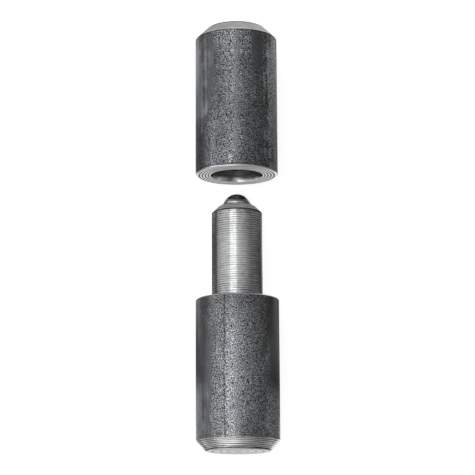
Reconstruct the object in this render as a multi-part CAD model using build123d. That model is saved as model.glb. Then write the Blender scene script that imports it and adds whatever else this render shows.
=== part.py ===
from build123d import *
import math
import os

# Weld-on lift-off hinge, turned from round steel bar, in millimetres.
# It is drawn pulled apart and lying on its side, with the hinge axis along +Y and the foot of the
# lower barrel at y = 0. A plain pin is pressed into the lower barrel. A bearing ball is staked into
# the tip of the pin, and the blind bore of the upper barrel rides on it when the hinge is closed.

# Barrels, both cut from the same round bar
barrel_diameter = 20.0
lower_length = 36.25
upper_length = 37.1
foot_chamfer_width = 2.35
foot_chamfer_length = 2.6
crown_chamfer_width = 3.0
crown_chamfer_length = 2.9
crown_round = 0.8
shoulder_edge_break = 0.25
mouth_edge_break = 0.4
drill_point_angle = 118.0

# Pin
pin_diameter = 12.2
pin_reach = 22.75
pin_chamfer = 1.6
pin_shoulder_round = 0.6
pin_lead_in = 0.8
pin_grip = 19.0
seat_relief = 1.0
seat_mouth_chamfer = 0.4

# Ball and the socket that is staked over it
ball_diameter = 7.144
ball_sink = 0.4
ball_clearance = 0.02
stake_rise = 0.42
stake_land = 0.18

# Fits between the two halves, and how far apart they are drawn
bore_clearance = 0.13
bore_mouth_chamfer = 0.2
joint_gap = 0.6
ball_contact_gap = 0.02
shown_clearance = 4.73

# Where the turned surfaces start and end, well clear of the line that the barrels lie on
seam_angle = 45.0

# Radii that follow from the sizes above
barrel_radius = barrel_diameter / 2
pin_radius = pin_diameter / 2
ball_radius = ball_diameter / 2
bore_radius = pin_radius + bore_clearance
socket_radius = ball_radius + ball_clearance
drill_half_angle = math.radians(drill_point_angle / 2)

# Stations along the hinge axis, measured from the foot
pin_face_y = lower_length + pin_reach
pin_foot_y = lower_length - pin_grip
ball_y = pin_face_y - ball_sink
stake_y = pin_face_y + stake_rise
mouth_y = ball_y + ball_radius + shown_clearance
closed_mouth_y = lower_length + joint_gap


def drill_point_length(radius):
    """Length of the cone that a drill of this radius leaves at the end of its hole."""
    return radius / math.tan(drill_half_angle)


def ball_to_drill_tip(gap):
    """Distance from the ball's centre to the tip of a drilled cone that is this gap off its skin."""
    return (ball_radius + gap) / math.sin(drill_half_angle)


def turned(section):
    """The solid that a half section, drawn as radius and station, sweeps about the hinge axis."""
    return Rot(0, seam_angle, 0) * revolve(section, Axis.Y)


def rounded_near(section, radius, station, fillet_radius):
    """The section with its corner nearest to that radius and station rounded over."""
    corner = section.vertices().sort_by_distance((radius, station, 0))[0]
    return fillet(corner, fillet_radius)


# Lower barrel: chamfered foot, faced end, and a blind drilled seat for the pin
def make_lower_barrel():
    seat_floor_y = pin_foot_y - seat_relief
    outline = Polyline(
        (0, 0),
        (barrel_radius - foot_chamfer_width, 0),
        (barrel_radius, foot_chamfer_length),
        (barrel_radius, lower_length - shoulder_edge_break),
        (barrel_radius - shoulder_edge_break, lower_length),
        (pin_radius + seat_mouth_chamfer, lower_length),
        (pin_radius, lower_length - seat_mouth_chamfer),
        (pin_radius, seat_floor_y),
        (0, seat_floor_y - drill_point_length(pin_radius)),
        close=True,
    )
    return turned(make_face(outline))


# Pin: plain shank with a lead-in, a chamfered tip, and a drilled socket whose lip is staked
# inwards past the ball's widest line, so that the ball turns but stays in
def make_pin():
    shoulder_radius = pin_radius - pin_chamfer
    stake_height = stake_y - ball_y
    lip_radius = math.sqrt(socket_radius**2 - stake_height**2)
    lip_angle = math.atan2(stake_height, lip_radius) / 2
    socket_tip_y = ball_y - ball_to_drill_tip(ball_clearance)
    outside = Polyline(
        (0, socket_tip_y),
        (0, pin_foot_y),
        (pin_radius - pin_lead_in, pin_foot_y),
        (pin_radius, pin_foot_y + pin_lead_in),
        (pin_radius, pin_face_y - pin_chamfer),
        (shoulder_radius, pin_face_y),
        (lip_radius + stake_land, stake_y),
        (lip_radius, stake_y),
    )
    lip = ThreePointArc(
        (lip_radius, stake_y),
        (socket_radius * math.cos(lip_angle), ball_y + socket_radius * math.sin(lip_angle)),
        (socket_radius, ball_y),
    )
    socket = Polyline(
        (socket_radius, ball_y),
        (socket_radius, socket_tip_y + drill_point_length(socket_radius)),
        (0, socket_tip_y),
    )
    section = make_face(Curve([outside, lip, socket]))
    return turned(rounded_near(section, shoulder_radius, pin_face_y, pin_shoulder_round))


# Ball: a plain bearing ball that rests on the cone of its socket
def make_ball():
    return Pos(0, ball_y, 0) * Sphere(ball_radius)


# Upper barrel: open mouth, chamfered crown, and a blind bore whose drilled end rides on the ball
def make_upper_barrel():
    bore_tip = ball_y + ball_to_drill_tip(ball_contact_gap) - closed_mouth_y
    outline = Polyline(
        (bore_radius + bore_mouth_chamfer, 0),
        (barrel_radius - mouth_edge_break, 0),
        (barrel_radius, mouth_edge_break),
        (barrel_radius, upper_length - crown_chamfer_length),
        (barrel_radius - crown_chamfer_width, upper_length),
        (0, upper_length),
        (0, bore_tip),
        (bore_radius, bore_tip - drill_point_length(bore_radius)),
        (bore_radius, bore_mouth_chamfer),
        close=True,
    )
    crown_radius = barrel_radius - crown_chamfer_width
    section = rounded_near(make_face(outline), crown_radius, upper_length, crown_round)
    return Pos(0, mouth_y, 0) * turned(section)


pieces = {
    "lower_barrel": make_lower_barrel(),
    "pin": make_pin(),
    "ball": make_ball(),
    "upper_barrel": make_upper_barrel(),
}

os.makedirs("parts", exist_ok=True)
for name, solid in pieces.items():
    export_step(solid, f"parts/{name}.step")
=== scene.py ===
import math
import random
from collections import namedtuple

import bmesh
import bpy
from mathutils import Matrix, Vector


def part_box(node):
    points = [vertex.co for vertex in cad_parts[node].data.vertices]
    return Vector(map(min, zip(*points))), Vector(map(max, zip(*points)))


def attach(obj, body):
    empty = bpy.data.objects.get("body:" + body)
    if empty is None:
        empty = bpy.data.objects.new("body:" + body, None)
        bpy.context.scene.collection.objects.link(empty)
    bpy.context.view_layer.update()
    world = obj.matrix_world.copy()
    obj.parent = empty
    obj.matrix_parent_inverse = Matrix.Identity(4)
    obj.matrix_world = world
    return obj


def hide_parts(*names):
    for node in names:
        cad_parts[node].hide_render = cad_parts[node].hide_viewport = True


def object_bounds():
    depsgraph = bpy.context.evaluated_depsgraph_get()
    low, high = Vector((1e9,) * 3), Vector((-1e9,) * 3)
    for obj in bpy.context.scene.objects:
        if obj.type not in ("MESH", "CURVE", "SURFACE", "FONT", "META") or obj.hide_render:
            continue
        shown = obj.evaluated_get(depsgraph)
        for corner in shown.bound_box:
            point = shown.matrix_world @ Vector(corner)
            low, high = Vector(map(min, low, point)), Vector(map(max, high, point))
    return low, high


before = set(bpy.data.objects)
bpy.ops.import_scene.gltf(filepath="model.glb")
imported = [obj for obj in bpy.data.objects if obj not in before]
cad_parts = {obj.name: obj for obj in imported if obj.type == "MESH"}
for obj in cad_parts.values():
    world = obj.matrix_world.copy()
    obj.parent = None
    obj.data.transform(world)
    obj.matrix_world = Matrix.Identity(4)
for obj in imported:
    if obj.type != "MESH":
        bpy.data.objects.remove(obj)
cad_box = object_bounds()

MM = 0.001

# Sizes read from the fixed frame. The hinge axis is +Y, and the foot is at y = 0.
lower_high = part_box("lower_barrel")[1]
upper_low, upper_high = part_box("upper_barrel")
pin_low, pin_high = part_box("pin")
ball_low, ball_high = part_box("ball")
barrel_radius = lower_high.x
pin_radius = pin_high.x
ball_radius = ball_high.x
shoulder = lower_high.y
mouth = upper_low.y
crown = upper_high.y
pin_foot = pin_low.y
stake_top = pin_high.y
ball_centre = (ball_low + ball_high) / 2

# Turned details, in the sizes that the solids have
foot_chamfer_width = 2.35 * MM
foot_chamfer_length = 2.6 * MM
crown_chamfer_width = 3.0 * MM
crown_chamfer_length = 2.9 * MM
shoulder_break = 0.25 * MM
mouth_break = 0.4 * MM
seat_chamfer = 0.4 * MM
seat_relief = 1.0 * MM
pin_chamfer = 1.6 * MM
pin_lead_in = 0.8 * MM
stake_rise = 0.42 * MM
stake_land = 0.18 * MM
ball_clearance = 0.02 * MM
ball_contact = 0.02 * MM
bore_radius = pin_radius + 0.13 * MM
bore_chamfer = 0.2 * MM
closed_gap = 0.6 * MM
drill_half_angle = math.radians(59)

# Finer forms than the solids have: a shallow lead-in inside the mouth, and a groove on the foot
# chamfer whose points lie one step out and one step up from each other
bore_lead_in = 1.1 * MM
foot_groove_out = 0.16 * MM
foot_groove_up = 0.176 * MM
foot_groove_depth = 0.08 * MM

# How far each rounded edge reaches to both sides of its corner
crown_round = 0.32 * MM
pin_shoulder_round = 0.36 * MM
foot_flat_round = 0.15 * MM
tip_edge_round = 0.15 * MM
bar_edge_round = 0.1 * MM
lip_round = 0.08 * MM

# Tool rings: pitch on the pin, depth on each turned face, and the share that the faintest one has
pin_ring_pitch = 0.56 * MM
pin_ring_depth = 0.05 * MM
tip_ring_depth = 0.06 * MM
foot_ring_depth = 0.06 * MM
foot_flat_ring_depth = 0.1 * MM
mouth_ring_depth = 0.08 * MM
bore_ring_depth = 0.05 * MM
end_ring_depth = 0.04 * MM
faintest_ring = 0.45

# Number of rings on each stretch
foot_flat_rings = 4
foot_chamfer_rings = 5
shoulder_rings = 5
tip_rings = 3
bore_rings = 30
mouth_rings = 4
crown_rings = 10

# Directions that rings are cut in, as radius and station
outwards = (1.0, 0.0)
towards_axis = (-1.0, 0.0)
towards_crown = (0.0, 1.0)
towards_foot = (0.0, -1.0)
into_foot_chamfer = (-0.74, 0.67)
into_tip_chamfer = (-0.7, -0.7)

# Lengths of the crown chamfer's rims along the axis: a painted highlight by the bar, and painted shade
# by the crown end
highlight_rim = 0.3 * MM
shade_rim = 0.36 * MM

# Camera, fitted to the outline in the photograph
camera_place = Vector((0.116 * MM, -36.07 * MM, 418.95 * MM))
camera_tilt = math.radians(11.81)
camera_roll = math.radians(-0.305)
camera_lens = 134.33
sensor_width = 36.0

# Meshes: steps right round the axis, the least angle that stays a sharp edge, and how far the
# centre of a face may lie inside the turned surface that it belongs to
steps_round = 192
sharp_angle = math.radians(50)
face_margin = 0.03 * MM


def drill_point_length(radius):
    """Length of the cone that a drill of this radius leaves at the end of its hole."""
    return radius / math.tan(drill_half_angle)


def ball_to_drill_tip(gap):
    """Distance from the ball's centre to the tip of a drilled cone that is this gap off its skin."""
    return (ball_radius + gap) / math.sin(drill_half_angle)


def new_object(name, bm):
    """A finished piece at the origin, from the mesh that was being built."""
    mesh = bpy.data.meshes.new(name)
    bm.to_mesh(mesh)
    bm.free()
    piece = bpy.data.objects.new(name, mesh)
    bpy.context.scene.collection.objects.link(piece)
    return piece


def draw_outline(bm, points):
    """The half section of a turned piece: its corners as (radius, station), joined in order."""
    verts = [bm.verts.new((radius, station, 0.0)) for radius, station in points]
    return [bm.edges.new(pair) for pair in zip(verts, verts[1:])]


def cut_rings(bm, edge, count, depth, inward, draw, middle=1.0, steps=4):
    """Cuts V-shaped tool rings of uneven depth into one straight stretch of the outline.

    Middle is the share of the depth that is left half way along it. Steps is how many lengths a
    ring's pitch is cut into, and its V takes two of them."""
    start = edge.verts[0].co.copy()
    length = edge.calc_length()
    cut = bmesh.ops.subdivide_edges(bm, edges=[edge], cuts=steps * count)
    corners = [item for item in cut["geom_inner"] if isinstance(item, bmesh.types.BMVert)]
    corners.sort(key=lambda vert: (vert.co - start).length)
    for bottom in corners[1::steps]:
        from_middle = abs(2 * (bottom.co - start).length / length - 1)
        share = middle + (1 - middle) * from_middle
        bottom.co += Vector((*inward, 0.0)) * depth * share * draw.uniform(faintest_ring, 1.0)


def turn(bm):
    """Turns the outline right round the hinge axis, and closes its poles."""
    bmesh.ops.spin(bm, geom=bm.verts[:] + bm.edges[:], cent=(0, 0, 0), axis=(0, 1, 0), dvec=(0, 0, 0),
                   angle=math.tau, steps=steps_round, use_merge=True, use_duplicate=False)
    bmesh.ops.remove_doubles(bm, verts=bm.verts, dist=0.0005 * MM)
    bmesh.ops.recalc_face_normals(bm, faces=bm.faces)


def round_ring(bm, radius, station, width, segments=3):
    """Rounds the turned edge at that radius and station."""
    near = 0.002 * MM

    def on_ring(vert):
        from_axis = math.hypot(vert.co.x, vert.co.z)
        return abs(vert.co.y - station) < near and abs(from_axis - radius) < near

    ring = [edge for edge in bm.edges if all(on_ring(vert) for vert in edge.verts)]
    bmesh.ops.bevel(bm, geom=ring, offset=width, offset_type="OFFSET", affect="EDGES",
                    segments=segments, profile=0.5, material=-1, clamp_overlap=True)


def add_sphere(bm, centre, radius, round_segments, length_segments):
    """A sphere with its poles on the hinge axis."""
    place = Matrix.Translation(centre) @ Matrix.Rotation(math.pi / 2, 4, "X")
    bmesh.ops.create_uvsphere(bm, u_segments=round_segments, v_segments=length_segments,
                              radius=radius, matrix=place)


def finish_piece(name, bm, materials, pick, body, node):
    """Makes the piece with its finishes, ties it to its body, and hides the solid it stands for."""
    for face in bm.faces:
        centre = face.calc_center_median()
        face.smooth = True
        face.material_index = pick(math.hypot(centre.x, centre.z), centre.y)
    piece = new_object(name, bm)
    for material in materials:
        piece.data.materials.append(material)
    piece.data.set_sharp_from_angle(angle=sharp_angle)
    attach(piece, body)
    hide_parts(node)


# Shader building

# Where a point lies: its object coordinates, and radius, station and angle about the hinge axis
Spot = namedtuple("Spot", ["place", "x", "z", "radius", "station", "angle"])

# The span that nearly all values of a noise texture lie in, and the whole span of a mask
noise_span = (0.3, 0.7)
whole = (0.0, 1.0)


def new_group(name, inputs, outputs):
    """An empty shader group with (name, value) float inputs and named float outputs."""
    tree = bpy.data.node_groups.new(name, "ShaderNodeTree")
    for label, value in inputs:
        socket = tree.interface.new_socket(name=label, in_out="INPUT", socket_type="NodeSocketFloat")
        socket.default_value = value
    for label in outputs:
        tree.interface.new_socket(name=label, in_out="OUTPUT", socket_type="NodeSocketFloat")
    given = tree.nodes.new("NodeGroupInput").outputs
    result = tree.nodes.new("NodeGroupOutput").inputs
    return tree, given, result


def use_group(tree, group, values):
    """Places a shader group in a material with its own values."""
    node = tree.nodes.new("ShaderNodeGroup")
    node.node_tree = group
    for label, value in values.items():
        node.inputs[label].default_value = value
    return node.outputs


def new_material(name):
    """A material, its node tree and its Principled shader."""
    material = bpy.data.materials.new(name)
    material.use_nodes = True
    return material, material.node_tree, material.node_tree.nodes["Principled BSDF"]


def feed(tree, socket, value):
    """Links an output to a socket, or sets a plain number on it."""
    if isinstance(value, (int, float)):
        socket.default_value = value
    else:
        tree.links.new(value, socket)


def math_node(tree, operation, first, second=None, clamp=False):
    """A Math node fed by outputs or plain numbers."""
    node = tree.nodes.new("ShaderNodeMath")
    node.operation = operation
    node.use_clamp = clamp
    feed(tree, node.inputs[0], first)
    if second is not None:
        feed(tree, node.inputs[1], second)
    return node.outputs[0]


def plus(tree, first, second):
    """The sum of two outputs or numbers."""
    return math_node(tree, "ADD", first, second)


def minus(tree, first, second):
    """What is left of the first when the second is taken away."""
    return math_node(tree, "SUBTRACT", first, second)


def times(tree, first, second):
    """The product of two outputs or numbers."""
    return math_node(tree, "MULTIPLY", first, second)


def over(tree, first, second):
    """The first divided by the second."""
    return math_node(tree, "DIVIDE", first, second)


def map_range(tree, value, source, target, smooth=False):
    """The value moved from the source range to the target range, linear or with soft ends."""
    node = tree.nodes.new("ShaderNodeMapRange")
    if smooth:
        node.interpolation_type = "SMOOTHSTEP"
    feed(tree, node.inputs["Value"], value)
    for label, number in zip(("From Min", "From Max", "To Min", "To Max"), (*source, *target)):
        feed(tree, node.inputs[label], number)
    return node.outputs["Result"]


def noise(tree, vector, scale=1.0, detail=0.0, roughness=0.5):
    """A noise texture's value on the given coordinates."""
    node = tree.nodes.new("ShaderNodeTexNoise")
    node.inputs["Scale"].default_value = scale
    node.inputs["Detail"].default_value = detail
    node.inputs["Roughness"].default_value = roughness
    tree.links.new(vector, node.inputs["Vector"])
    return node.outputs["Fac"]


def around_axis(tree):
    """The spot that is being shaded. Its angle is 0 on top and positive towards +X."""
    place = tree.nodes.new("ShaderNodeTexCoord").outputs["Object"]
    split = tree.nodes.new("ShaderNodeSeparateXYZ")
    tree.links.new(place, split.inputs[0])
    x, station, z = split.outputs
    radius = math_node(tree, "SQRT", plus(tree, times(tree, x, x), times(tree, z, z)))
    return Spot(place, x, z, radius, station, math_node(tree, "ARCTAN2", x, z))


def stretched(tree, place, around, along):
    """Object coordinates with one scale round the bar and another along it."""
    node = tree.nodes.new("ShaderNodeMapping")
    node.inputs["Scale"].default_value = (around, along, around)
    tree.links.new(place, node.inputs["Vector"])
    return node.outputs[0]


def vector_of(tree, x, y, z):
    """A vector from three outputs or numbers."""
    node = tree.nodes.new("ShaderNodeCombineXYZ")
    for socket, value in zip(node.inputs, (x, y, z)):
        feed(tree, socket, value)
    return node.outputs[0]


def drawn_round(tree, spot, breaks, along):
    """Coordinates that draw a noise out round the axis, from its breaks per metre and a value along."""
    return vector_of(tree, times(tree, spot.x, breaks), along, times(tree, spot.z, breaks))


def ramp(tree, factor, stops):
    """A colour ramp from (place, grey or colour) stops."""
    node = tree.nodes.new("ShaderNodeValToRGB")
    elements = node.color_ramp.elements
    while len(elements) < len(stops):
        elements.new(1.0)
    for element, (place, colour) in zip(elements, stops):
        element.position = place
        element.color = (*colour, 1.0) if isinstance(colour, tuple) else (colour, colour, colour, 1.0)
    tree.links.new(factor, node.inputs["Fac"])
    return node.outputs["Color"]


def mix_colours(tree, factor, first, second, blend="MIX"):
    """Two colours mixed or multiplied."""
    node = tree.nodes.new("ShaderNodeMix")
    node.data_type = "RGBA"
    node.blend_type = blend
    feed(tree, node.inputs["Factor"], factor)
    for label, value in (("A", first), ("B", second)):
        if isinstance(value, tuple):
            node.inputs[label].default_value = (*value, 1.0)
        else:
            tree.links.new(value, node.inputs[label])
    return node.outputs["Result"]


def scale_colour(tree, colour, level):
    """A colour made brighter or darker by a level, which may be above 1."""
    node = tree.nodes.new("ShaderNodeVectorMath")
    node.operation = "SCALE"
    tree.links.new(colour, node.inputs[0])
    tree.links.new(level, node.inputs["Scale"])
    return node.outputs[0]


def bump(tree, height, distance):
    """A normal from a height between 0 and 1 that stands this far up."""
    node = tree.nodes.new("ShaderNodeBump")
    node.inputs["Distance"].default_value = distance
    tree.links.new(height, node.inputs["Height"])
    return node.outputs["Normal"]


# Effects that several finishes share

# Scratches of the tool: their pitch and depth, the fineness of the bright streaks along them as a
# share of their own, and the streaks' breaks per metre
scratch_pitch = 0.1 * MM
scratch_depth = 0.006 * MM
streak_fineness = 0.45
streak_breaks = 400.0

# Painted shade and dark residue in the rings: how quickly it fills them, and the noise that wears it
# away
shade_and_residue_gain = 1.7
shade_and_residue_noise = 900.0
shade_and_residue_wear = (0.35, 0.55)

# Edges of a patch of rubbing and of painted light and shade: how square it is, where it fades, and its
# ragged and streaky noise
patch_squareness = 3.0
patch_fade = (0.6, 1.15)
patch_ragged_noise = 250.0
patch_ragged_reach = 0.25
patch_streak_round = 900.0
patch_streak_along = 60.0
patch_streak_reach = 0.22


def make_tool_marks():
    """Fine scratches that run right round: a height, and uneven brightness along them."""
    tree, given, result = new_group("tool marks", [("Pitch", scratch_pitch)], ["Height", "Streak"])
    spot = around_axis(tree)
    across = over(tree, spot.radius, given["Pitch"])
    along = over(tree, spot.station, given["Pitch"])
    tree.links.new(noise(tree, vector_of(tree, across, along, 0.0), detail=2.0), result["Height"])
    fine = times(tree, plus(tree, across, along), streak_fineness)
    broken = noise(tree, drawn_round(tree, spot, streak_breaks, fine), detail=2.0)
    tree.links.new(broken, result["Streak"])
    return tree


def make_ring_shade():
    """How deep a point lies below its turned face, as 0 to 1: the tool rings get painted shade, partly
    dark residue, in them.
    """
    tree, given, result = new_group("ring shade", [
        ("Slope R", 1.0), ("Slope Y", 0.0), ("Face", 0.0), ("Full Depth", pin_ring_depth),
        ("Breaks", shade_and_residue_noise), ("Least", 0.2)], ["Shade"])
    spot = around_axis(tree)
    level = plus(tree, times(tree, spot.radius, given["Slope R"]),
                 times(tree, spot.station, given["Slope Y"]))
    below = over(tree, minus(tree, given["Face"], level), given["Full Depth"])
    depth = math_node(tree, "MULTIPLY", below, shade_and_residue_gain, clamp=True)
    ring = times(tree, plus(tree, spot.radius, spot.station), shade_and_residue_noise)
    worn = noise(tree, drawn_round(tree, spot, given["Breaks"], ring), detail=3.0)
    kept = map_range(tree, worn, shade_and_residue_wear, (given["Least"], 1.0))
    tree.links.new(times(tree, depth, kept), result["Shade"])
    return tree


def make_rub_and_painted_light_patch():
    """A soft-edged patch on a barrel, 0 to 1: angle in radians, station and half length in metres."""
    tree, given, result = new_group("rub and painted light patch", [
        ("Angle", 0.0), ("Station", 0.0), ("Half Angle", 0.3), ("Half Length", 0.01)], ["Mask"])
    spot = around_axis(tree)
    sideways = over(tree, minus(tree, spot.angle, given["Angle"]), given["Half Angle"])
    lengthways = over(tree, minus(tree, spot.station, given["Station"]), given["Half Length"])
    powers = [math_node(tree, "POWER", math_node(tree, "ABSOLUTE", part), patch_squareness)
              for part in (sideways, lengthways)]
    reach = math_node(tree, "POWER", plus(tree, *powers), 1 / patch_squareness)
    streak_place = stretched(tree, spot.place, patch_streak_round, patch_streak_along)
    streaks = map_range(tree, noise(tree, streak_place, detail=3.0), noise_span,
                        (-patch_streak_reach, patch_streak_reach))
    ragged = map_range(tree, noise(tree, spot.place, patch_ragged_noise, detail=3.0), noise_span,
                       (-patch_ragged_reach, patch_ragged_reach))
    reach = plus(tree, reach, plus(tree, streaks, ragged))
    tree.links.new(map_range(tree, reach, patch_fade, (1.0, 0.0), smooth=True), result["Mask"])
    return tree


tool_marks = make_tool_marks()
ring_shade = make_ring_shade()
rub_and_painted_light_patch = make_rub_and_painted_light_patch()


# Turned steels and the ball

# How far the streaks, and the painted shade and residue in the rings, depart from the steel's own colour
# and roughness
streak_dull = 0.8
streak_bright = 1.12
streak_span = (0.25, 0.75)
streak_smooth = 0.8
streak_rough = 1.25
shade_and_residue_dark = 0.06
residue_rough = 0.2

# Smears on the ball: noise scale per metre, greys and roughness
smear_noise = 700.0
smear_greys = (0.66, 0.8)
smear_rough = (0.12, 0.18)


def shaded(colour, share):
    """A colour at this share of its brightness."""
    return tuple(min(1.0, channel * share) for channel in colour)


def turned_steel(name, base, roughness, rings=None, metallic=1.0):
    """Turned steel. Rings, where it has them, are the values of the ring shade on that face."""
    material, tree, shader = new_material(name)
    scratches = use_group(tree, tool_marks, {"Pitch": scratch_pitch})
    dull, bright = shaded(base, streak_dull), shaded(base, streak_bright)
    colour = ramp(tree, scratches["Streak"], list(zip(noise_span, (dull, bright))))
    rough = map_range(tree, scratches["Streak"], streak_span,
                      (roughness * streak_smooth, roughness * streak_rough))
    if rings:
        shade = use_group(tree, ring_shade, rings)["Shade"]
        colour = mix_colours(tree, shade, colour, shaded(base, shade_and_residue_dark))
        rough = plus(tree, rough, times(tree, shade, residue_rough))
    tree.links.new(colour, shader.inputs["Base Color"])
    tree.links.new(rough, shader.inputs["Roughness"])
    tree.links.new(bump(tree, scratches["Height"], scratch_depth), shader.inputs["Normal"])
    shader.inputs["Metallic"].default_value = metallic
    return material


def ball_steel():
    """Hardened bearing steel, dark and polished, with a few faint smears."""
    material, tree, shader = new_material("ball steel")
    place = tree.nodes.new("ShaderNodeTexCoord").outputs["Object"]
    smears = noise(tree, place, smear_noise, detail=2.0)
    grey = ramp(tree, smears, list(zip(noise_span, smear_greys)))
    tree.links.new(grey, shader.inputs["Base Color"])
    tree.links.new(map_range(tree, smears, noise_span, smear_rough), shader.inputs["Roughness"])
    shader.inputs["Metallic"].default_value = 1.0
    return material


def chamfer_face(width, length, towards, radius, station):
    """Outward direction and offset of a turned chamfer that passes through that radius and station.

    Towards is 1 where the chamfer faces the crown's side and -1 where it faces the foot's."""
    reach = math.hypot(width, length)
    out, up = length / reach, towards * width / reach
    return out, up, out * radius + up * station


def rings_on(face, ring_depth, full_at, breaks, least):
    """Ring shade on a face, given by its outward direction (radius, station) and offset.

    The painted shade and residue are full at a share of the rings' depth. Breaks is the scale, per
    metre, of the noise that wears them away, and least is the share of them that is left there."""
    return {"Slope R": face[0], "Slope Y": face[1], "Face": face[2],
            "Full Depth": ring_depth * full_at, "Breaks": breaks, "Least": least}


mouth_face = (0.0, -1.0, -mouth)
shoulder_face = (0.0, 1.0, shoulder)
foot_face = (0.0, -1.0, 0.0)
crown_face = (0.0, 1.0, crown)
shank_face = (1.0, 0.0, pin_radius)
bore_face = (-1.0, 0.0, -bore_radius)
foot_slope = chamfer_face(foot_chamfer_width, foot_chamfer_length, -1,
                          barrel_radius, foot_chamfer_length)
tip_slope = chamfer_face(pin_chamfer, pin_chamfer, 1,
                         pin_radius, stake_top - stake_rise - pin_chamfer)

# One turned steel, with its base grey set face by face to the brightness that face shows, so the greys
# partly paint light and shade
mouth_steel = turned_steel("faced steel", (0.67, 0.675, 0.68), 0.3,
                           rings_on(mouth_face, mouth_ring_depth, full_at=0.35, breaks=200, least=0.85))
foot_steel = turned_steel("foot chamfer steel", (0.8, 0.805, 0.81), 0.22,
                          rings_on(foot_slope, foot_ring_depth, full_at=0.7, breaks=300, least=0.5))
foot_end_steel = turned_steel("foot end steel", (0.45, 0.454, 0.458), 0.3,
                              rings_on(foot_face, end_ring_depth, full_at=2.8, breaks=300, least=0.5))
shoulder_steel = turned_steel("end face steel", (0.7, 0.705, 0.71), 0.3,
                              rings_on(shoulder_face, end_ring_depth, full_at=5, breaks=300, least=0.3))
crown_steel = turned_steel("crown steel", (0.47, 0.475, 0.48), 0.26)
crown_end_steel = turned_steel("crown end steel", (0.5, 0.505, 0.51), 0.3,
                               rings_on(crown_face, end_ring_depth, full_at=3, breaks=300, least=0.2))
pin_steel = turned_steel("pin steel", (0.64, 0.645, 0.65), 0.065,
                         rings_on(shank_face, pin_ring_depth, full_at=1.1, breaks=1300, least=0.2))
# The pin tip is painted bright: its chamfer would reflect the dark bore
tip_steel = turned_steel("pin tip steel", (0.95, 0.955, 0.96), 0.45,
                         rings_on(tip_slope, tip_ring_depth, full_at=0.6, breaks=300, least=0.8),
                         metallic=0.4)
bored_steel = turned_steel("bored steel", (0.6, 0.6, 0.61), 0.3,
                           rings_on(bore_face, bore_ring_depth, full_at=3, breaks=500, least=0.4))
lead_in_steel = turned_steel("lead-in steel", (0.66, 0.665, 0.67), 0.15)
# A painted highlight on turned edges and breaks
edge_highlight_steel = turned_steel("edge highlight steel", (0.85, 0.855, 0.86), 0.3)
# Painted shade on the crown chamfer's top rim
edge_shade_steel = turned_steel("edge shade steel", (0.14, 0.142, 0.146), 0.4)
# Painted shade round the ball on the pin's lip, and at the edge where the tip's chamfer starts
pin_edge_shade_steel = turned_steel("pin edge shade steel", (0.02, 0.02, 0.021), 0.5)
polished_ball = ball_steel()


# Rolled skin of the bar

# Stipple: noise scale per metre, the span of it that counts, its height and its neutral level
stipple_noise = 5200.0
stipple_span = (0.38, 0.62)
stipple_height = 0.015 * MM
stipple_middle = 0.6

# Blotches, which change tone and grain, and lanes along the bar, which change tone
blotch_noise = 260.0
blotch_roughness = 0.6
blotch_tones = (0.92, 1.08)
blotch_span = (0.3, 0.65)
blotch_grains = (0.8, 1.0)
lane_round = 2500.0
lane_along = 60.0
lane_tones = (0.94, 1.06)

# Tint, from bluish through neutral to warm
tint_noise = 330.0
tint_stops = [(0.32, (0.96, 0.99, 1.05)), (0.5, (0.99, 1.0, 1.02)), (0.68, (1.01, 1.01, 0.985))]

# Roughness from the bottom of the stipple to its top
skin_roughness = (0.4, 0.28)
skin_metallic = 0.92

# The rolling seam: its half width and wander in radians, and the noise scales of wander and fading
seam_half_width = 0.035
seam_wander = 0.025
seam_wander_noise = 160.0
seam_fade_noise = 300.0
seam_fade = (0.42, 0.6)
seam_tones = (0.3, 0.62)


def apply_rub_and_painted_light_patches(tree, patches, tone, grain):
    """The skin's tone and grain, changed inside each patch: the grain as rubbing, and the tone, on the
    barrels' sides, as painted light and shade.
    """
    for centre, at, half_angle, half_length, patch_tone, patch_grain in patches:
        mask = use_group(tree, rub_and_painted_light_patch, {
            "Angle": math.radians(centre), "Station": at * MM,
            "Half Angle": math.radians(half_angle), "Half Length": half_length * MM})["Mask"]
        tone = times(tree, tone, map_range(tree, mask, whole, (1.0, patch_tone)))
        grain = times(tree, grain, map_range(tree, mask, whole, (1.0, patch_grain)))
    return tone, grain


def rim_tone(tree, spot, at, half_length, tone):
    """The tone of a narrow line right round the bar, at a station beside a turned edge, where a
    highlight or shade is painted.
    """
    away = math_node(tree, "ABSOLUTE", minus(tree, spot.station, at))
    return map_range(tree, away, (0.0, half_length), (tone, 1.0), smooth=True)


def seam_tone(tree, spot, seam):
    """The tone of the seam that rolling left: a dark line along the bar that wanders and fades."""
    wander = map_range(tree, noise(tree, spot.place, seam_wander_noise, detail=3.0), noise_span,
                       (-seam_wander, seam_wander))
    offset = plus(tree, minus(tree, spot.angle, math.radians(seam)), wander)
    fading = noise(tree, spot.place, seam_fade_noise, detail=2.0)
    faint = map_range(tree, fading, seam_fade, seam_tones)
    return map_range(tree, math_node(tree, "ABSOLUTE", offset), (0.0, seam_half_width), (faint, 1.0),
                     smooth=True)


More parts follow.
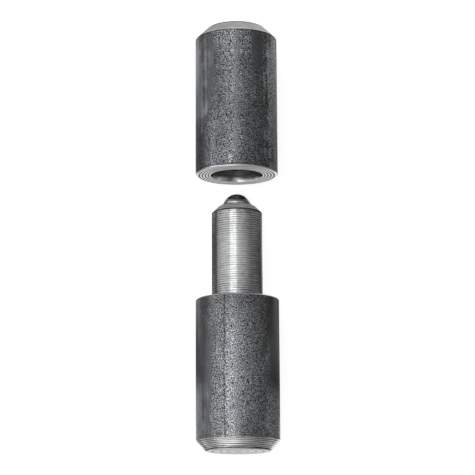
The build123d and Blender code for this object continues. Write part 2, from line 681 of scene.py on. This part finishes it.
def rolled_skin(name, base, grain_strength, patches, rims, seam=None):
    """The bar's dark rolled skin: a fine stipple, with patches that change grain and tone, the tone on
    the sides being painted light and shade.

    Each rim is a painted line of light or shade (station, half length, tone), and the seam's angle is in
    degrees."""
    material, tree, shader = new_material(name)
    spot = around_axis(tree)
    stipple = map_range(tree, noise(tree, spot.place, stipple_noise), stipple_span, whole, smooth=True)
    blotches = noise(tree, spot.place, blotch_noise, detail=3.0, roughness=blotch_roughness)
    lanes = noise(tree, stretched(tree, spot.place, lane_round, lane_along), detail=2.0)
    tone = times(tree, map_range(tree, blotches, noise_span, blotch_tones),
                 map_range(tree, lanes, noise_span, lane_tones))
    grain = map_range(tree, blotches, blotch_span, blotch_grains)
    tone, grain = apply_rub_and_painted_light_patches(tree, patches, tone, grain)
    for rim in rims:
        tone = times(tree, tone, rim_tone(tree, spot, *rim))
    if seam is not None:
        tone = times(tree, tone, seam_tone(tree, spot, seam))
    spread = times(tree, minus(tree, stipple, stipple_middle), grain)
    level = times(tree, tone, math_node(tree, "POWER", grain_strength, spread))
    tint = ramp(tree, noise(tree, spot.place, tint_noise, detail=2.0), tint_stops)
    bare = mix_colours(tree, 1.0, tint, base, "MULTIPLY")
    height = bump(tree, times(tree, stipple, grain), stipple_height)
    tree.links.new(scale_colour(tree, bare, level), shader.inputs["Base Color"])
    tree.links.new(map_range(tree, stipple, whole, skin_roughness), shader.inputs["Roughness"])
    tree.links.new(height, shader.inputs["Normal"])
    shader.inputs["Metallic"].default_value = skin_metallic
    return material


# Patches of rubbing and of painted light and shade: degrees from overhead and positive towards +X,
# station in mm, half angle, half length in mm, and the patch's tone and grain against the skin round it
lower_patches = [
    # Left side: smooth all along, with painted shade by the shoulder, and pale by the foot
    (-64, 19.0, 27, 20, 0.95, 0.14),
    (-84, 24.7, 22, 10.3, 0.62, 1.0),
    (-78, 7.5, 26, 9, 2.6, 1.0),
    # Right side: painted shade and smooth grain by the shoulder, pale by the foot
    (68, 25.5, 29, 13.0, 0.62, 0.14),
    (66, 7, 28, 8, 2.2, 1.1),
    # Underside
    (150, 22, 26, 13, 1.05, 0.2),
    (-142, 14, 24, 12, 1.1, 0.2),
]
upper_patches = [
    # Coarser grain under the crown, and painted shade in a lane left of the middle, which dims the
    # highlight there
    (-5, 99.5, 45, 2.5, 1.0, 1.2),
    (-17, 86, 15, 19, 0.72, 1.0),
    # Left side: a smooth painted highlight under the crown, smooth beside it, a little darker by the
    # mouth
    (-78, 90, 32, 12, 2.8, 0.1),
    (-45, 90, 14, 11, 1.0, 0.12),
    (-60, 73, 20, 6, 0.9, 0.5),
    # A little paler by the mouth, left of the middle
    (-25, 73, 35, 8, 1.15, 1.1),
    # A small smooth spot under the crown, right of the middle
    (31, 95.5, 8, 5.5, 0.95, 0.15),
    # Right side: a painted highlight, partly pale rubbed wear, all along, and a little more so under the
    # crown
    (76, 84, 27, 22, 3.0, 1.1),
    (66, 91, 22, 12, 1.15, 1.1),
    # A pale nick at the mouth's edge
    (-8.5, 68.7, 3, 1.2, 1.8, 1.0),
    # Underside
    (155, 88, 26, 13, 1.15, 0.2),
    (-148, 79, 22, 10, 1.1, 0.25),
]
# Painted lines beside the turned edges: a painted highlight at the foot, painted shade at the crown and
# the mouth
foot_highlight_line = (foot_chamfer_length + 0.1 * MM, 0.35 * MM, 1.1)
crown_shade_line = (crown - crown_chamfer_length - 0.12 * MM, 0.3 * MM, 0.6)
mouth_shade_line = (mouth + mouth_break + 0.25 * MM, 0.25 * MM, 0.6)

lower_skin = rolled_skin("rolled skin lower", (0.24, 0.244, 0.252), 12.0, lower_patches, [foot_highlight_line],
                         seam=-18)
upper_skin = rolled_skin("rolled skin upper", (0.175, 0.178, 0.184), 14.0, upper_patches,
                         [crown_shade_line, mouth_shade_line])


# Pieces

def build_lower_barrel():
    """The lower bar: chamfered foot, faced shoulder and the blind seat that the pin stands in."""
    flat = barrel_radius - foot_chamfer_width
    seat_floor = pin_foot - seat_relief

    def on_foot_chamfer(steps, depth=0.0):
        return flat + steps * foot_groove_out - depth, steps * foot_groove_up + depth

    bm = bmesh.new()
    edges = draw_outline(bm, [
        (0.0, 0.0),
        (flat, 0.0),
        on_foot_chamfer(1),
        on_foot_chamfer(2, foot_groove_depth),
        on_foot_chamfer(3),
        (barrel_radius, foot_chamfer_length),
        (barrel_radius, shoulder - shoulder_break),
        (barrel_radius - shoulder_break, shoulder),
        (pin_radius + seat_chamfer, shoulder),
        (pin_radius, shoulder - seat_chamfer),
        (pin_radius, seat_floor),
        (0.0, seat_floor - drill_point_length(pin_radius)),
    ])
    flat_edge, chamfer_edge, shoulder_edge = edges[0], edges[4], edges[7]
    draw = random.Random(5)
    cut_rings(bm, flat_edge, foot_flat_rings, foot_flat_ring_depth, towards_crown, draw, steps=6)
    cut_rings(bm, chamfer_edge, foot_chamfer_rings, foot_ring_depth, into_foot_chamfer, draw)
    cut_rings(bm, shoulder_edge, shoulder_rings, end_ring_depth, towards_foot, draw)
    turn(bm)
    round_ring(bm, flat, 0.0, foot_flat_round)
    round_ring(bm, barrel_radius, foot_chamfer_length, bar_edge_round)
    # The last steel paints a highlight on the shoulder's break
    materials = [lower_skin, foot_steel, foot_end_steel, shoulder_steel, edge_highlight_steel]
    skin, chamfer, foot_end, top, rim = range(len(materials))

    def pick(radius, station):
        if radius > barrel_radius - face_margin and station > foot_chamfer_length - face_margin:
            return skin
        if radius > barrel_radius - shoulder_break and station > shoulder - shoulder_break:
            return rim
        if radius < flat - foot_flat_round / 3 and station < foot_flat_ring_depth:
            return foot_end
        return chamfer if station < foot_chamfer_length else top

    finish_piece("lower_bar", bm, materials, pick, "lower_half", "lower_barrel")


def build_pin():
    """The pin: ringed shank, chamfered tip, and the drilled socket with its lip staked over the ball."""
    face = stake_top - stake_rise
    chamfer_start = face - pin_chamfer
    top_radius = pin_radius - pin_chamfer
    rise = stake_top - ball_centre.y
    socket = ball_radius + ball_clearance
    lip = math.sqrt(socket**2 - rise**2)
    halfway = math.asin(rise / socket) / 2
    socket_tip = ball_centre.y - ball_to_drill_tip(ball_clearance)
    bm = bmesh.new()
    edges = draw_outline(bm, [
        (0.0, pin_foot),
        (pin_radius - pin_lead_in, pin_foot),
        (pin_radius, pin_foot + pin_lead_in),
        (pin_radius, shoulder),
        (pin_radius, chamfer_start),
        (top_radius, face),
        (lip + stake_land, stake_top),
        (lip, stake_top),
        (socket * math.cos(halfway), ball_centre.y + socket * math.sin(halfway)),
        (socket, ball_centre.y),
        (socket, socket_tip + drill_point_length(socket)),
        (0.0, socket_tip),
    ])
    shank_edge, chamfer_edge = edges[3], edges[4]
    draw = random.Random(11)
    shank_rings = round((chamfer_start - shoulder) / pin_ring_pitch)
    cut_rings(bm, shank_edge, shank_rings, pin_ring_depth, towards_axis, draw, middle=0.3)
    cut_rings(bm, chamfer_edge, tip_rings, tip_ring_depth, into_tip_chamfer, draw)
    turn(bm)
    round_ring(bm, top_radius, face, pin_shoulder_round, segments=5)
    round_ring(bm, pin_radius, chamfer_start, tip_edge_round)
    round_ring(bm, lip + stake_land, stake_top, lip_round)
    # The last steel paints shade on the lip's land round the ball and on the tip chamfer's lower edge
    materials = [pin_steel, tip_steel, pin_edge_shade_steel]
    shank, tip, edge_shade = range(len(materials))
    shaded_land = 0.8 * stake_land

    def pick(radius, station):
        if radius < lip + shaded_land and station > ball_centre.y:
            return edge_shade
        if abs(station - chamfer_start) < tip_edge_round:
            return edge_shade
        return tip if station > chamfer_start else shank

    finish_piece("turned_pin", bm, materials, pick, "lower_half", "pin")


def build_ball():
    """The bearing ball, with its poles on the hinge axis."""
    bm = bmesh.new()
    add_sphere(bm, ball_centre, ball_radius, round_segments=96, length_segments=64)
    bmesh.ops.recalc_face_normals(bm, faces=bm.faces)

    def pick(radius, station):
        return 0

    finish_piece("bearing_ball", bm, [polished_ball], pick, "thrust_ball", "ball")


def build_upper_barrel():
    """The upper bar: faced mouth, chamfered crown, and a blind bore that rides on the ball."""
    flat = barrel_radius - crown_chamfer_width
    chamfer_start = crown - crown_chamfer_length
    chamfer_slope = crown_chamfer_width / crown_chamfer_length
    lift = mouth - (shoulder + closed_gap)
    bore_tip = lift + ball_centre.y + ball_to_drill_tip(ball_contact)
    bm = bmesh.new()
    edges = draw_outline(bm, [
        (0.0, bore_tip),
        (bore_radius, bore_tip - drill_point_length(bore_radius)),
        (bore_radius, mouth + bore_lead_in),
        (bore_radius + bore_chamfer, mouth),
        (barrel_radius - mouth_break, mouth),
        (barrel_radius, mouth + mouth_break),
        (barrel_radius, chamfer_start),
        (barrel_radius - highlight_rim * chamfer_slope, chamfer_start + highlight_rim),
        (flat + shade_rim * chamfer_slope, crown - shade_rim),
        (flat, crown),
        (0.0, crown),
    ])
    bore_edge, mouth_edge, crown_edge = edges[1], edges[3], edges[9]
    draw = random.Random(22)
    cut_rings(bm, bore_edge, bore_rings, bore_ring_depth, outwards, draw)
    cut_rings(bm, mouth_edge, mouth_rings, mouth_ring_depth, towards_crown, draw, steps=3)
    cut_rings(bm, crown_edge, crown_rings, end_ring_depth, towards_foot, draw)
    turn(bm)
    round_ring(bm, flat, crown, crown_round, segments=6)
    round_ring(bm, barrel_radius, chamfer_start, bar_edge_round)
    # The bright edge steel paints highlights on the mouth's break and the crown chamfer's lower rim, and
    # the dark one paints shade on its top rim
    materials = [upper_skin, mouth_steel, crown_steel, crown_end_steel, bored_steel, lead_in_steel,
                 edge_highlight_steel, edge_shade_steel]
    skin, face, chamfer, crown_end, bore, lead_in, edge_highlight, edge_shade = range(len(materials))
    bore_reach = bore_radius + 0.15 * MM
    bore_start = mouth + 0.02 * MM
    skin_reach = barrel_radius - 0.04 * MM

    def pick(radius, station):
        if radius < bore_reach and bore_start < station < bore_tip:
            return bore if station > mouth + bore_lead_in else lead_in
        if radius > skin_reach and station < chamfer_start + face_margin:
            return skin
        if radius > barrel_radius - mouth_break and station < mouth + mouth_break:
            return edge_highlight
        if station > crown - face_margin:
            return crown_end
        if station > crown - shade_rim:
            return edge_shade
        if station > chamfer_start + highlight_rim:
            return chamfer
        return edge_highlight if station > chamfer_start else face

    finish_piece("upper_bar", bm, materials, pick, "upper_half", "upper_barrel")


build_lower_barrel()
build_pin()
build_ball()
build_upper_barrel()


# Studio: a light tent with three rows of panels, a white floor and a white surround

tent_radius = 900 * MM
tent_gain = 1.6

# Where one row gives way to the next along the axis, and how soft a flag's edges are, in degrees
foot_row_end = (-30, -24)
crown_row_start = (46, 52)
flag_soft_round = 0.5
flag_soft_along = 0.3

floor_half_size = 3.0
floor_gap = 0.01 * MM
floor_grey = 0.4
floor_glow = 0.86
surround_dim = 0.5

# Levels by direction about the hinge axis: degrees from overhead, positive towards +X.
# The middle row is seen in the barrels and the pin, and its bright window is their highlight.
middle_row = [
    (-180, 0.85), (-163, 0.85), (-158, 0.09), (-112, 0.06), (-96, 0.28), (-72, 0.42), (-48, 0.5),
    (-33, 0.56), (-31.5, 0.95), (-4.5, 0.95), (-3, 0.6), (5, 0.48), (16, 0.36), (34, 0.28),
    (52, 0.17), (74, 0.09), (100, 0.06), (150, 0.03), (155, 0.8), (180, 0.85),
]
# The foot row is seen in the foot's chamfer
foot_row = [
    (-180, 0.12), (-158, 0.2), (-143, 0.75), (-130, 0.14), (-118, 0.1), (-95, 0.33), (-77, 1.05),
    (-59, 0.9), (-5, 0.6), (55, 0.26), (95, 0.1), (120, 0.13), (143, 0.4), (158, 0.2), (180, 0.12),
]
# The crown row is seen in the chamfers of the crown and of the pin's tip
crown_row = [
    (-180, 0.45), (-150, 0.45), (-120, 0.14), (-60, 0.1), (60, 0.08), (120, 0.1), (150, 0.5),
    (180, 0.5),
]

# Flags: from and to degrees round, from and to degrees along the axis, and the level they show.
# A flat end reflects the light from below, at 180 degrees round, and so do a bar's sides.
flags = [
    # Seen in the lower bar's left and right edges, and in the pin's
    (-181, -118, 3.0, 6.8, 0.3),
    (-181, -158, 6.8, 13.3, 0.09),
    (139, 181, 3.0, 9.95, 0.05),
    (139, 181, 9.95, 13.3, 0.22),
    (-164, -104, 9.95, 13.3, 0.07),
    # Seen in the upper bar's left edge, its right side and its right edge
    (-181, -124, 15.8, 23, 0.36),
    (72, 150, 14.2, 24, 0.2),
    (150, 181, 13.3, 23, 0.12),
    # The pole beyond the crown
    (-181, 181, 80, 91, 0.8),
    # Seen low in the ball and in its flanks
    (-70, 70, -48, -30, 0.07),
    (-150, -112, -28, 2.5, 0.08),
    (124, 150, -28, 2.5, 0.08),
    # Seen in the bore's lead-in, right of its bright spot
    (-3, 22, -12, -1, 0.22),
    (22, 124, -14, 1.5, 0.1),
    # Seen in the foot's flat
    (150, 181, -9, 2.0, 0.6),
    (-181, -150, -9, 2.0, 0.6),
    # Seen at the sides of the crown's and the pin tip's chamfers, the last two at their very edges
    (-181, -138, 23, 48, 0.34),
    (138, 181, 23, 48, 0.42),
    (-181, -171, 20, 46, 0.06),
    (171, 181, 20, 46, 0.06),
]


def step_at(tree, value, start, end, target=whole):
    """A soft step between two angles in degrees."""
    return map_range(tree, value, (math.radians(start), math.radians(end)), target, smooth=True)


def between(tree, value, low, high, soft):
    """1 between two angles in degrees and 0 outside, with soft ends."""
    rise = step_at(tree, value, low - soft, low + soft)
    fall = step_at(tree, value, high - soft, high + soft, (1.0, 0.0))
    return times(tree, rise, fall)


def row_of(tree, turn_part, levels):
    """One row of panels, as a ramp over the full turn."""
    return ramp(tree, turn_part, [((degrees + 180) / 360, level) for degrees, level in levels])


def build_tent():
    """A closed tent of soft light round the hinge, which the camera sees through."""
    centre = Vector((0.0, (cad_box[0][1] + cad_box[1][1]) / 2, 0.0))
    bm = bmesh.new()
    add_sphere(bm, centre, tent_radius, round_segments=72, length_segments=36)
    tent = new_object("light_tent", bm)
    material = bpy.data.materials.new("light tent")
    material.use_nodes = True
    tree = material.node_tree
    tree.nodes.remove(tree.nodes["Principled BSDF"])
    spot = around_axis(tree)
    turn_part = plus(tree, over(tree, spot.angle, math.tau), 0.5)
    climb = math_node(tree, "ARCTAN2", minus(tree, spot.station, centre.y), spot.radius)
    above_foot = step_at(tree, climb, *foot_row_end)
    above_middle = step_at(tree, climb, *crown_row_start)
    level = mix_colours(tree, above_foot, row_of(tree, turn_part, foot_row),
                        row_of(tree, turn_part, middle_row))
    level = mix_colours(tree, above_middle, level, row_of(tree, turn_part, crown_row))
    for first, last, low, high, shown in flags:
        covered = times(tree, between(tree, spot.angle, first, last, flag_soft_round),
                        between(tree, climb, low, high, flag_soft_along))
        level = mix_colours(tree, covered, level, (shown, shown, shown))
    glow = tree.nodes.new("ShaderNodeEmission")
    glow.inputs["Strength"].default_value = tent_gain
    tree.links.new(level, glow.inputs["Color"])
    tree.links.new(glow.outputs[0], tree.nodes["Material Output"].inputs["Surface"])
    tent.data.materials.append(material)
    tent.visible_camera = False


def build_floor():
    """A white floor that keeps the hinge's soft shadow. Only the camera sees it."""
    place = Matrix.Translation((0, 0, -barrel_radius - floor_gap))
    bm = bmesh.new()
    bmesh.ops.create_grid(bm, x_segments=1, y_segments=1, size=floor_half_size, matrix=place)
    floor = new_object("floor", bm)
    material, tree, shader = new_material("white floor")
    shader.inputs["Base Color"].default_value = (floor_grey, floor_grey, floor_grey, 1)
    shader.inputs["Roughness"].default_value = 1.0
    shader.inputs["Specular IOR Level"].default_value = 0.0
    shader.inputs["Emission Color"].default_value = (1, 1, 1, 1)
    shader.inputs["Emission Strength"].default_value = floor_glow
    clear = tree.nodes.new("ShaderNodeBsdfTransparent")
    camera_ray = tree.nodes.new("ShaderNodeLightPath").outputs["Is Camera Ray"]
    chosen = tree.nodes.new("ShaderNodeMixShader")
    tree.links.new(camera_ray, chosen.inputs[0])
    tree.links.new(clear.outputs[0], chosen.inputs[1])
    tree.links.new(shader.outputs[0], chosen.inputs[2])
    tree.links.new(chosen.outputs[0], tree.nodes["Material Output"].inputs["Surface"])
    floor.data.materials.append(material)


def build_surround():
    """A surround that is white to the camera, to gloss and to glass, and grey to other light."""
    world = bpy.data.worlds.new("white surround")
    world.use_nodes = True
    bpy.context.scene.world = world
    tree = world.node_tree
    background = tree.nodes["Background"]
    path = tree.nodes.new("ShaderNodeLightPath").outputs
    seen = math_node(tree, "MAXIMUM", path["Is Camera Ray"], path["Is Glossy Ray"])
    seen = math_node(tree, "MAXIMUM", seen, path["Is Transmission Ray"])
    tree.links.new(map_range(tree, seen, whole, (surround_dim, 1.0)), background.inputs["Strength"])
    background.inputs["Color"].default_value = (1, 1, 1, 1)


def build_camera():
    """The camera of the photograph."""
    camera_data = bpy.data.cameras.new("camera")
    camera_data.lens = camera_lens
    camera_data.sensor_width = sensor_width
    camera_data.clip_start = 0.01
    camera_data.clip_end = 20.0
    camera = bpy.data.objects.new("camera", camera_data)
    bpy.context.scene.collection.objects.link(camera)
    camera.matrix_world = (Matrix.Translation(camera_place) @ Matrix.Rotation(camera_tilt, 4, "X")
                           @ Matrix.Rotation(camera_roll, 4, "Z"))
    bpy.context.scene.camera = camera


build_tent()
build_floor()
build_surround()
build_camera()

bpy.context.scene.view_settings.view_transform = "Standard"
